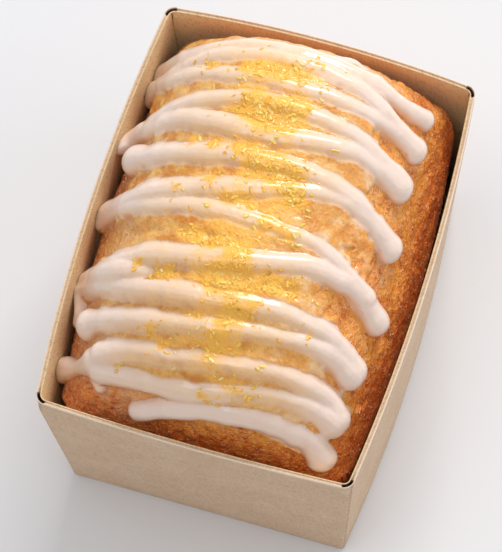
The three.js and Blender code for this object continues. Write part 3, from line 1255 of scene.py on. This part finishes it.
@dataclass
class Loaf:
    """The cake itself: its crust with all of its relief."""

    crown: Crown
    zones: Zones
    crown_rings: int = 116
    side_rings: int = 9
    foot_gap: float = 0.3 * MM
    foot_round: float = 3 * MM
    lumps: float = 0.5 * MM
    lump_size: float = 13 * MM
    folds: float = 0.6 * MM
    fold_size: float = 4.2 * MM
    pebbles: float = 0.3 * MM
    pebble_size: float = 1.3 * MM
    soaked_calm: float = 0.55
    pore_spacing: float = 3.1 * MM
    pore_depth: float = 0.6 * MM
    pore_least: float = 0.22
    pore_spread: float = 0.16
    poreless: float = 0.45
    relief_full: float = 62 * MM
    browned_zone: tuple[float, float] = (52 * MM, 80 * MM)
    crumb_zone: tuple[float, float] = (66 * MM, 82 * MM)

    def build(self, material: bpy.types.Material) -> bpy.types.Object:
        """Make the crust in one closed mesh.

        Args:
            material: The crust's material.

        Returns:
            The finished piece.
        """
        rings = self.crown_rings + self.side_rings
        ring, edge, quads = square_grid(rings)
        inner, away = round_the_square(edge)
        share = np.sin(np.minimum(ring / self.crown_rings, 1) * math.pi / 2)
        down = np.maximum(ring - self.crown_rings, 0) / self.side_rings
        foot = self.crown.case.floor + self.foot_gap
        height = self.crown.shoulder + (foot - self.crown.shoulder) * down
        extra = np.maximum(foot + self.foot_round - height, 0)
        plan = self.crown.outline(height, extra).place(inner, away) * share[:, None]
        on_top = ring <= self.crown_rings
        z = np.where(on_top, self.crown.height(plan[:, 0], plan[:, 1]), height)
        faces = [*quads.tolist(), grid_rim(rings)[::-1]]
        piece = new_object("crust", np.column_stack([plan, z]), faces, material)
        self._relief(piece.data, on_top)
        return piece

    def _relief(self, mesh: bpy.types.Mesh, on_top: Array) -> None:
        """Raise the crust's lumps and pebbles, sink its pores, and store its zones.

        Args:
            mesh: The crust.
            on_top: Whether each point is on the crown.
        """
        points = vectors(mesh.vertices, "co")
        gold = self.zones.gold(points[:, 0], points[:, 1]) * on_top
        calm = 1 - self.soaked_calm * gold
        lift = self.lumps * rough(points, self.lump_size, 2, 1.1)
        lift += self.folds * calm * rough(points, self.fold_size, 2, 2.2)
        lift += self.pebbles * calm * rough(points, self.pebble_size, 2, 3.3)
        lift -= self._pores(points) * calm
        height = points[:, 2]
        fade = np.where(on_top, smooth(height, self.crown.shoulder - 2 * MM, self.relief_full), 0)
        normals = vectors(mesh.vertex_normals, "vector")
        move_points(mesh, points + normals * (lift * fade)[:, None])
        store(mesh, "gold", gold)
        store(mesh, "low", 1 - smooth(height, *self.browned_zone))
        store(mesh, "crumbs", on_top * (1.06 - smooth(height, *self.crumb_zone)))
        left = smooth(-points[:, 0], 5 * MM, 25 * MM)
        away = smooth(self.zones.routes.apart(points), 0.9, 2)
        store(mesh, "near", left * (1 - 0.65 * away))

    def _pores(self, points: Array) -> Array:
        """Give the depth of the open pores at points.

        Args:
            points: The points, as n by 3.

        Returns:
            The depths.
        """
        depth = np.zeros(len(points))
        for i, point in enumerate(points):
            distances, cells = noise.voronoi(Vector(point / self.pore_spacing))
            if noise.cell(cells[0] * 7.3) > self.poreless:
                more = noise.cell(cells[0] * 3.1 + Vector((5, 5, 5)))
                size = self.pore_least + self.pore_spread * more
                depth[i] = self.pore_depth * max(0.0, 1 - (distances[0] / size) ** 2)
        return depth


@dataclass
class Drizzle:
    """The icing: its passes, the film between them, and the drops on the case's wall."""

    crown: Crown
    zones: Zones
    voxel: float = 0.42 * MM
    softening: int = 5
    most_faces: int = 190_000
    sides: int = 16
    film_height: float = 0.95 * MM
    film_wave: float = 0.28 * MM
    film_reach: float = 0.93
    fillet_height: float = 0.6 * MM
    fillet_reach: float = 4.6 * MM
    film_depth: float = 1.1 * MM
    film_rings: int = 90
    touch: float = 0.05 * MM

    def build(self, material: bpy.types.Material) -> bpy.types.Object:
        """Make all of the icing in one fused mesh.

        Args:
            material: The icing's material.

        Returns:
            The finished piece.
        """
        tubes = self._tubes()
        film = self._film()
        bpy.ops.object.select_all(action="DESELECT")
        film.select_set(True)
        tubes.select_set(True)
        bpy.context.view_layer.objects.active = tubes
        bpy.ops.object.join()
        fuse = tubes.modifiers.new("fuse", "REMESH")
        fuse.mode = "VOXEL"
        fuse.voxel_size = self.voxel
        soften = tubes.modifiers.new("soften", "SMOOTH")
        soften.factor = 0.5
        soften.iterations = self.softening
        dense = baked(tubes, "dense")
        thin_out = dense.modifiers.new("thin_out", "DECIMATE")
        thin_out.ratio = min(self.most_faces / (2 * len(dense.data.polygons)), 1)
        piece = baked(dense, "icing")
        piece.data.materials.clear()
        piece.data.materials.append(material)
        piece.data.shade_smooth()
        self._settle(piece.data)
        return piece

    def _tubes(self) -> bpy.types.Object:
        """Sweep a round section along every strand.

        Returns:
            The closed tubes, in one object.
        """
        points, radii, edges = [], [], []
        for middle, radius in self.zones.routes.strands:
            start = len(points)
            points += middle.tolist()
            radii += radius.tolist()
            edges += [(i, i + 1) for i in range(start, len(points) - 1)]
        mesh = bpy.data.meshes.new("passes")
        mesh.from_pydata(points, edges, [])
        store(mesh, "thickness", np.array(radii))
        tree, sheet, given = new_tree("sweep_passes", {"Sides": "NodeSocketInt"})
        line = sheet.term("GeometryNodeMeshToCurve", None, {"Mesh": given["Geometry"]})
        ring = sheet.term("GeometryNodeCurvePrimitiveCircle", {"mode": "RADIUS"},
                          {"Resolution": given["Sides"], "Radius": 1.0}, "Curve")
        tube = sheet.term("GeometryNodeCurveToMesh", None, {
            "Curve": line, "Profile Curve": ring, "Scale": stored(sheet, "thickness"),
            "Fill Caps": True,
        })
        close_tree(sheet, tube, None)
        return apply_tree(linked("passes", mesh), tree, {"Sides": self.sides}, "tubes")

    def _film(self) -> bpy.types.Object:
        """Make the film as a slab that rises through the crust where there is a thin film of icing.

        Returns:
            The closed slab.
        """
        ring, edge, quads = square_grid(self.film_rings)
        inner, away = round_the_square(edge)
        share = self.film_reach * np.sin(ring / self.film_rings * math.pi / 2)
        plan = self.crown.outline(self.crown.shoulder).place(inner, away) * share[:, None]
        x, y = plan[:, 0], plan[:, 1]
        base = np.column_stack([plan, self.crown.height(x, y)])
        normal = self.crown.normal(x, y)
        distance = self.zones.routes.distance(base)
        cover = self.zones.film(base, distance)
        ridges = 1 - 2 * np.abs(rough(base, 3.4 * MM, 3, 6.4))
        thick = self.film_height + self.film_wave * (ridges - 0.5 + rough(base, 5 * MM, 2, 7.7))
        fillet = self.fillet_height * np.exp(-np.square(distance / self.fillet_reach))
        top = cover * (thick + fillet) - (1 - cover) * self.film_depth * 0.8
        upper = base + normal * top[:, None]
        lower = base - normal * self.film_depth
        count = len(base)
        rim = grid_rim(self.film_rings)
        wall = [[a, a + count, b + count, b] for a, b in zip(rim, rim[1:] + rim[:1])]
        under = (quads[:, ::-1] + count).tolist()
        return new_object("film", np.concatenate([upper, lower]),
                          quads.tolist() + under + wall, None)

    def _settle(self, mesh: bpy.types.Mesh) -> None:
        """Press the icing flat against the case's wall, and store its zones.

        Args:
            mesh: The icing.
        """
        points = vectors(mesh.vertices, "co")
        x, y, z = points.T
        case = self.crown.case
        wall = case.outline(z, case.wall, case.corner - case.wall)
        limit = wall.width_at(y) - self.touch
        points[:, 0] = np.clip(x, -limit, limit)
        move_points(mesh, points)
        normal = self.crown.normal(x, y)
        lift = (z - self.crown.height(x, y)) * np.maximum(normal[:, 2], 0.25) / MM
        flank = 1 - smooth(self.zones.routes.apart(points), 0.95, 1.4)
        facing = vectors(mesh.vertex_normals, "vector")
        outward = np.einsum("ij,ij->i", facing, normal)
        shown = smooth(outward, 0.2, 0.6) * smooth(lift, 0.0, 0.15)
        density, juice = self.zones.zest(points)
        store(mesh, "lift", np.clip(lift, 0, 4))
        store(mesh, "gold", self.zones.gold(x, y))
        store(mesh, "rope", np.maximum(flank, smooth(lift, 1.25, 1.85)))
        # Painted shade: the sides that face the front, away from the key lamp, are marked to be
        # painted darker and warmer.
        store(mesh, "lee", smooth(-facing[:, 1], 0.0, 0.95))
        store(mesh, "juice", juice)
        store(mesh, "zest", density * shown)


@dataclass
class Strewn:
    """Small things of one kind, strewn over a ground at random.

    Attributes:
        name: The kind's name, also of the number on the ground that says how thick it lies.
        density: The most of them on a square metre.
        seed: The seed of their places.
    """

    name: str
    density: float
    seed: int

    def sizes(self) -> dict[str, float]:
        """Give the sizes that the tree takes, by name."""
        return {}

    def pieces(self, sheet: Sheet, given: Any, spread: bpy.types.Node) -> Term:
        """Add what lies at each point to the tree."""
        raise NotImplementedError

    def build(self, ground: bpy.types.Object, material: bpy.types.Material) -> bpy.types.Object:
        """Strew them.

        Args:
            ground: What they lie on.
            material: Their material.

        Returns:
            The finished piece.
        """
        values = {"Density": self.density, **self.sizes()}
        kinds = {"Seed": "NodeSocketInt", **{label: "NodeSocketFloat" for label in values}}
        tree, sheet, given = new_tree("strew_" + self.name, kinds)
        density = stored(sheet, self.name) * Term(sheet, given["Density"])
        spread = sheet.node("GeometryNodeDistributePointsOnFaces",
                            {"distribute_method": "RANDOM"},
                            {"Mesh": given["Geometry"], "Density": density, "Seed": given["Seed"]})
        close_tree(sheet, self.pieces(sheet, given, spread), material)
        carrier = linked("strewn", ground.data.copy())
        return apply_tree(carrier, tree, {"Seed": self.seed, **values}, self.name)

    @staticmethod
    def mark(sheet: Sheet, strewn: Term, name: str, value: Term) -> Term:
        """Store a number of its own on each thing that is strewn."""
        return sheet.term("GeometryNodeStoreNamedAttribute",
                          {"data_type": "FLOAT", "domain": "INSTANCE"},
                          {"Geometry": strewn, "Name": name, "Value": value})


@dataclass
class Zest(Strewn):
    """Shreds of lemon peel over the icing."""

    name: str = "zest"
    density: float = 9e5
    seed: int = 11
    length: float = 2.3 * MM
    width: float = 1.1 * MM
    thickness: float = 0.14 * MM
    stand_off: float = 0.02 * MM
    shapes: int = 6

    def sizes(self) -> dict[str, float]:
        """Give the sizes that the tree takes, by name."""
        return {"Length": self.length, "Width": self.width, "Thickness": self.thickness}

    def pieces(self, sheet: Sheet, given: Any, spread: bpy.types.Node) -> Term:
        """Add curled shreds of several shapes to the tree.

        Args:
            sheet: The tree's sheet.
            given: Its inputs.
            spread: The node that gives the points.

        Returns:
            The shreds.
        """
        shapes = [self._shred(sheet, given, i) for i in range(self.shapes)]
        choice = sheet.term("GeometryNodeJoinGeometry", None, {"Geometry": shapes})
        tilt = chance(sheet, "FLOAT_VECTOR", (-0.2, -0.2, -math.pi), (0.2, 0.2, math.pi), 3)
        turned = sheet.term("FunctionNodeRotateRotation", {"rotation_space": "LOCAL"}, {
            "Rotation": spread.outputs["Rotation"],
            "Rotate By": sheet.term("FunctionNodeEulerToRotation", None, {"Euler": tilt}),
        })
        strewn = sheet.term("GeometryNodeInstanceOnPoints", None, {
            "Points": spread.outputs["Points"],
            "Instance": choice,
            "Pick Instance": True,
            "Instance Index": chance(sheet, "INT", 0, self.shapes - 1, 4),
            "Rotation": turned,
            "Scale": chance(sheet, "FLOAT_VECTOR", (0.35, 0.3, 0.6), (1, 0.95, 0.9), 5),
        })
        return self.mark(sheet, strewn, "tone", chance(sheet, "FLOAT", 0, 1, 6))

    def _shred(self, sheet: Sheet, given: Any, number: int) -> Term:
        """Make one shape of shred: a flat ribbon bent along an arc.

        Args:
            sheet: The tree's sheet.
            given: Its inputs.
            number: The shape's number: a higher one is shorter, narrower and more curled.

        Returns:
            The shred.
        """
        sweep = 0.5 + 0.55 * number
        radius = Term(sheet, given["Length"]) * ((1 - 0.08 * number) / sweep)
        arc = sheet.term("GeometryNodeCurveArc", {"mode": "RADIUS"}, {
            "Resolution": 4, "Radius": radius, "Start Angle": -sweep / 2, "Sweep Angle": sweep,
        }, "Curve")
        ribbon = sheet.term("GeometryNodeCurvePrimitiveQuadrilateral", {"mode": "RECTANGLE"}, {
            "Width": Term(sheet, given["Width"]) * (1 - 0.09 * number),
            "Height": given["Thickness"],
        }, "Curve")
        shred = sheet.term("GeometryNodeCurveToMesh", None,
                           {"Curve": arc, "Profile Curve": ribbon, "Fill Caps": True})
        back = sheet.term("ShaderNodeCombineXYZ", None, {"X": radius * -1, "Z": self.stand_off})
        placed = sheet.term("GeometryNodeTransform", None,
                            {"Geometry": shred, "Translation": back})
        return sheet.term("GeometryNodeGeometryToInstance", None, {"Geometry": placed})


@dataclass
class Crumbs(Strewn):
    """Crumbs and grains of sugar on the crust, most of them beside the case."""

    name: str = "crumbs"
    density: float = 7e4
    seed: int = 4
    size: float = 0.38 * MM

    def sizes(self) -> dict[str, float]:
        """Give the sizes that the tree takes, by name."""
        return {"Size": self.size}

    def pieces(self, sheet: Sheet, given: Any, spread: bpy.types.Node) -> Term:
        """Add small lumps of uneven shape to the tree.

        Args:
            sheet: The tree's sheet.
            given: Its inputs.
            spread: The node that gives the points.

        Returns:
            The crumbs.
        """
        lump = sheet.term("GeometryNodeMeshIcoSphere", None,
                          {"Radius": given["Size"], "Subdivisions": 1}, "Mesh")
        strewn = sheet.term("GeometryNodeInstanceOnPoints", None, {
            "Points": spread.outputs["Points"],
            "Instance": lump,
            "Rotation": spread.outputs["Rotation"],
            "Scale": chance(sheet, "FLOAT_VECTOR", (0.4, 0.4, 0.4), (1.2, 1, 0.8), 7),
        })
        return self.mark(sheet, strewn, "near", chance(sheet, "FLOAT", 1, 2.2, 8))


# The section of the case's wall. The levels are shares of its height, from the foot up outside
# and from the rim down inside. The rest is in millimetres: the outer ply's lip, as inset, depth
# below the top and how pale its edge is, a pale cut edge with a painted highlight; the crease
# between the plies, as distance from its middle and share of its depth; and the inner ply's lip,
# as inset and depth.
OUTER_LEVELS = (0.06, 0.2, 0.35, 0.5, 0.65, 0.8, 0.88, 0.91, 0.94, 0.965, 0.985)
INNER_LEVELS = (0.985, 0.96, 0.92, 0.87, 0.8, 0.72, 0.62, 0.5, 0.35, 0.2, 0.06)
OUTER_LIP = ((0.0, 0.5, 0.3), (0.05, 0.25, 0.9), (0.16, 0.08, 1), (0.3, 0.0, 0.5),
             (0.44, 0.05, 0.1), (0.56, 0.12, 0))
CREASE = ((-0.17, 0.3), (-0.13, 0.75), (-0.05, 1), (0.05, 1), (0.13, 0.75), (0.17, 0.3))
INNER_LIP = ((1.14, 0.2), (1.22, 0.16), (1.32, 0.16), (1.42, 0.25), (1.48, 0.5))


@dataclass
class BoardCase:
    """The case: two plies of board folded over at the rim, cut through at each corner."""

    shape: CaseShape = CaseShape()
    side_steps: int = 44
    end_steps: int = 34
    corner_steps: int = 24
    crease: float = 0.16 * MM
    slot_depth: float = 3 * MM
    slot_shift: float = 0.15 * MM
    seam_depth: float = 0.4 * MM
    seam_turn: tuple[float, float] = (math.radians(45), math.radians(7))
    fold_turn: tuple[float, float] = (math.radians(60), math.radians(12))
    ridge_middle: float = 0.84 * MM
    fold_corner: float = 1.3 * MM
    fold_top: float = 69.5 * MM
    fold_bottom: float = 64 * MM
    measured_row: int = 8

    def build(self, material: bpy.types.Material) -> bpy.types.Object:
        """Make the case in one closed mesh.

        Args:
            material: The board's material.

        Returns:
            The finished piece.
        """
        inner, away, turn = self._stations()
        slot = smooth(np.sqrt(np.maximum(np.sin(2 * turn), 0)), 0.15, 0.6)
        columns, marks = self._profile(slot, turn)
        rows = []
        for inset, height in columns:
            sharp = 1 - smooth(height, self.fold_bottom, self.fold_top)
            radius = self.shape.corner + (self.fold_corner - self.shape.corner) * sharp
            corner = np.maximum(radius - inset, 0.3 * MM)
            plan = self.shape.outline(height, inset, corner).place(inner, away)
            rows.append(np.column_stack([plan, height]))
        count = len(inner)
        here = np.arange(count)
        ahead = np.roll(here, -1)
        band = np.stack([here, ahead, ahead + count, here + count], axis=1)
        faces = [face for row in range(len(rows) - 1) for face in (band + row * count).tolist()]
        last = (len(rows) - 1) * count
        faces += [here[::-1].tolist(), (here + last).tolist()]
        piece = new_object("board_case", np.concatenate(rows), faces, material)
        self._store(piece.data, rows, marks)
        return piece

    def _stations(self) -> tuple[Array, Array, Array]:
        """List the places round the case: right, back, left and front, each with its corner.

        Returns:
            Their shares of the straight half sides, their directions outwards, and how far
            each is round its corner, in radians.
        """
        inner, away, turn = [], [], []
        for quarter, (x, y) in enumerate(((1, 0), (0, 1), (-1, 0), (0, -1))):
            steps = self.end_steps if quarter % 2 else self.side_steps
            for t in np.linspace(-1, 1, steps, endpoint=False)[1:]:
                inner.append((x - y * t, y + x * t))
                away.append((x, y))
                turn.append(0.0)
            for angle in np.linspace(0, math.pi / 2, self.corner_steps + 1):
                bearing = quarter * math.pi / 2 + angle
                inner.append((x - y, y + x))
                away.append((math.cos(bearing), math.sin(bearing)))
                turn.append(angle)
        return np.array(inner, float), np.array(away), np.array(turn)

    def _profile(self, slot: Array, turn: Array) -> tuple[list, dict[str, list]]:
        """Work out the wall's section, from the foot over the rim to the floor inside.

        Args:
            slot: How far each station is cut open between the plies, 0 to 1.
            turn: How far each station is round its corner, in radians.

        Returns:
            The section's points, each as an inset and a height for every station, and the
            marks that the finish reads for each point of the section.
        """
        top = self.shape.height
        level = np.ones(len(slot))
        columns: list[tuple[Array, Array]] = []
        marks: dict[str, list] = {"inner": [], "rim": [], "seam": [], "low": [], "fold": []}
        seam, fold = (np.exp(-np.square((turn - middle) / spread)) * (slot > 0)
                      for middle, spread in (self.seam_turn, self.fold_turn))

        def add(inset: Array | float, height: Array | float, inner: float = 0.0,
                rim: float = 0.0, dark: Array | float = 0.0) -> None:
            """Add a point of the section, with its marks.

            Args:
                inset: How far within the outer face it lies.
                height: Its height.
                inner: How much it belongs to the inner ply.
                rim: How pale its edge is: a pale cut edge with a painted highlight.
                dark: How much painted shade the cut between the plies or the inner corner takes
                    there.
            """
            columns.append((inset * level, height * level))
            marks["inner"].append(inner * level)
            marks["rim"].append(rim * level)
            marks["seam"].append(dark * level)
            # Low down inside, the board takes painted light.
            marks["low"].append(inner * (1 - smooth(height * level, 50 * MM, 70 * MM)))
            marks["fold"].append(fold if inner + rim == 0 else 0 * level)

        add(0.5 * MM, 0)
        add(0.12 * MM, 0.1 * MM)
        add(0, 0.5 * MM)
        for share in OUTER_LEVELS:
            add(0, top * share)
        # The outer lip's ridges take a pale cut edge and a painted highlight.
        for inset, below, rim in OUTER_LIP:
            add(inset * MM * (1 - 0.55 * slot), top - below * MM, 0, rim)
        depth = self.crease + (self.slot_depth - self.crease) * slot
        middle = self.ridge_middle - self.slot_shift * slot
        # The crease between the plies takes painted shade, most of it where the plies are cut open
        # at the corners.
        for aside, share in CREASE:
            inset = middle + aside * MM * (1 + 1.5 * slot)
            add(inset, top - 0.12 * MM - depth * share, 0.3, 0, 0.2 + 0.8 * slot)
        for inset, below in INNER_LIP:
            add(inset * MM, top - below * MM, 0.4)
        wall = self.shape.wall - self.seam_depth * seam
        # Where the inner plies meet at a corner, they take painted shade.
        for share in INNER_LEVELS:
            add(wall, top * share, 1, 0, 0.85 * seam)
        add(wall + 0.1 * MM, self.shape.floor + 0.15 * MM, 1)
        add(wall + 0.5 * MM, self.shape.floor, 1)
        return columns, marks

    def _store(self, mesh: bpy.types.Mesh, rows: list[Array], marks: dict[str, list]) -> None:
        """Store the marks, and a UV map in metres round the case and along its section.

        Args:
            mesh: The case.
            rows: The points of each row round the case.
            marks: The marks of each row.
        """
        for name, values in marks.items():
            store(mesh, name, np.concatenate(values))
        count = len(rows[0])
        ring = rows[self.measured_row]
        steps = np.linalg.norm(np.roll(ring, -1, axis=0) - ring, axis=1)
        around = np.concatenate([[0], np.cumsum(steps)])
        section = np.stack([row[count // 3] for row in rows])
        up = np.concatenate([[0], np.cumsum(np.linalg.norm(np.diff(section, axis=0), axis=1))])
        layer = mesh.uv_layers.new(name="board").data
        for face in mesh.polygons:
            corners = list(face.vertices)
            if len(corners) > 4:
                for loop, point in zip(face.loop_indices, corners):
                    layer[loop].uv = mesh.vertices[point].co.xy
                continue
            columns = [point % count for point in corners]
            wraps = max(columns) - min(columns) > 1
            for loop, point, column in zip(face.loop_indices, corners, columns):
                at = count if wraps and column == 0 else column
                layer[loop].uv = (around[at], up[point // count])


# ---- Camera, light and floor ----


@dataclass(frozen=True)
class Lamp:
    """A soft rectangular lamp that faces the object."""

    name: str
    place: tuple[float, float, float]
    size: tuple[float, float]
    watts: float
    colour: tuple[float, float, float] = (1.0, 1.0, 1.0)
    aim: tuple[float, float, float] = (0.0, 0.0, 60 * MM)

    def hang(self) -> None:
        """Hang the lamp."""
        light = bpy.data.lights.new(self.name, "AREA")
        light.shape = "RECTANGLE"
        light.size, light.size_y = self.size
        light.energy = self.watts
        light.color = self.colour
        holder = linked(self.name, light)
        holder.location = self.place
        towards = Vector(self.aim) - Vector(self.place)
        holder.rotation_euler = towards.to_track_quat("-Z", "Y").to_euler()


@dataclass(frozen=True)
class Studio:
    """A plain pale floor, soft light and the camera."""

    azimuth: float = math.radians(-21.9)
    elevation: float = math.radians(69.3)
    roll: float = math.radians(-5.25)
    distance: float = 1.4038
    aim: tuple[float, float, float] = (0.0, 0.0, 31.5 * MM)
    slide: tuple[float, float] = (-3.15 * MM, 5.22 * MM)
    sensor: float = 24.0
    focal_share: float = 5000 / 552
    lamps: tuple[Lamp, ...] = (
        Lamp("key", (0.18, 2.24, 1.72), (1.3, 0.7), 56.0, (1.0, 0.99, 0.98)),
        Lamp("top", (-0.3, -0.3, 2.1), (0.9, 0.9), 7.0),
        Lamp("side", (1.6, 0.4, 1.5), (1.2, 1.2), 4.5, (0.92, 0.97, 1.0)),
    )
    daylight: float = 0.57
    floor_colour: Colour = srgb(223, 223, 226)
    floor_half: float = 2.0

    def camera(self) -> None:
        """Make the camera and set it as the scene's."""
        turn, rise = self.azimuth, self.elevation
        view = Vector((math.sin(turn) * math.cos(rise), math.cos(turn) * math.cos(rise),
                       -math.sin(rise)))
        right = Vector((math.cos(turn), -math.sin(turn), 0))
        up = right.cross(view)
        tilted = right * math.cos(self.roll) + up * math.sin(self.roll)
        upright = up * math.cos(self.roll) - right * math.sin(self.roll)
        place = (Vector(self.aim) - view * self.distance + tilted * self.slide[0]
                 + upright * self.slide[1])
        lens = bpy.data.cameras.new("camera")
        lens.sensor_fit = "VERTICAL"
        lens.sensor_height = self.sensor
        lens.lens = self.focal_share * self.sensor
        holder = linked("camera", lens)
        holder.matrix_world = Matrix.Translation(place) @ Matrix(
            (tilted, upright, -view)).transposed().to_4x4()
        bpy.context.scene.camera = holder

    def light(self) -> None:
        """Light the object softly, mostly from above and behind its right."""
        for lamp in self.lamps:
            lamp.hang()
        world = bpy.data.worlds.new("room")
        world.use_nodes = True
        ground = world.node_tree.nodes["Background"]
        ground.inputs["Color"].default_value = (1, 1, 1, 1)
        ground.inputs["Strength"].default_value = self.daylight
        bpy.context.scene.world = world
        view = bpy.context.scene.view_settings
        view.view_transform = "Standard"
        view.look = "None"

    def floor(self) -> None:
        """Lay the floor."""
        paint = Paint("floor", {"Base Color": self.floor_colour, "Roughness": 0.9})
        half = self.floor_half
        corners = np.array([(-half, -half, 0), (half, -half, 0), (half, half, 0), (-half, half, 0)])
        new_object("floor", corners, [[0, 1, 2, 3]], paint.material)


def main() -> None:
    """Build the cake in its case, piece by piece."""
    logging.basicConfig(level=logging.INFO, format="%(message)s")
    crown = Crown()
    routes = Routes(crown)
    routes.lay()
    zones = Zones(routes)
    materials = {finish: FINISHES[finish].material() for finish in Finish}
    studio = Studio()
    studio.camera()

    hand_over(BoardCase().build(materials[Finish.BOARD]), Finish.BOARD, "case")
    crust = Loaf(crown, zones).build(materials[Finish.CRUST])
    hand_over(crust, Finish.CRUST, "loaf")
    hand_over(Crumbs().build(crust, materials[Finish.CRUST]), Finish.CRUST)
    icing = Drizzle(crown, zones).build(materials[Finish.ICING])
    hand_over(icing, Finish.ICING, "drizzle_1", "drizzle_2")
    hand_over(Zest().build(icing, materials[Finish.ZEST]), Finish.ZEST)

    studio.light()
    studio.floor()


if __name__ == "__main__":
    main()
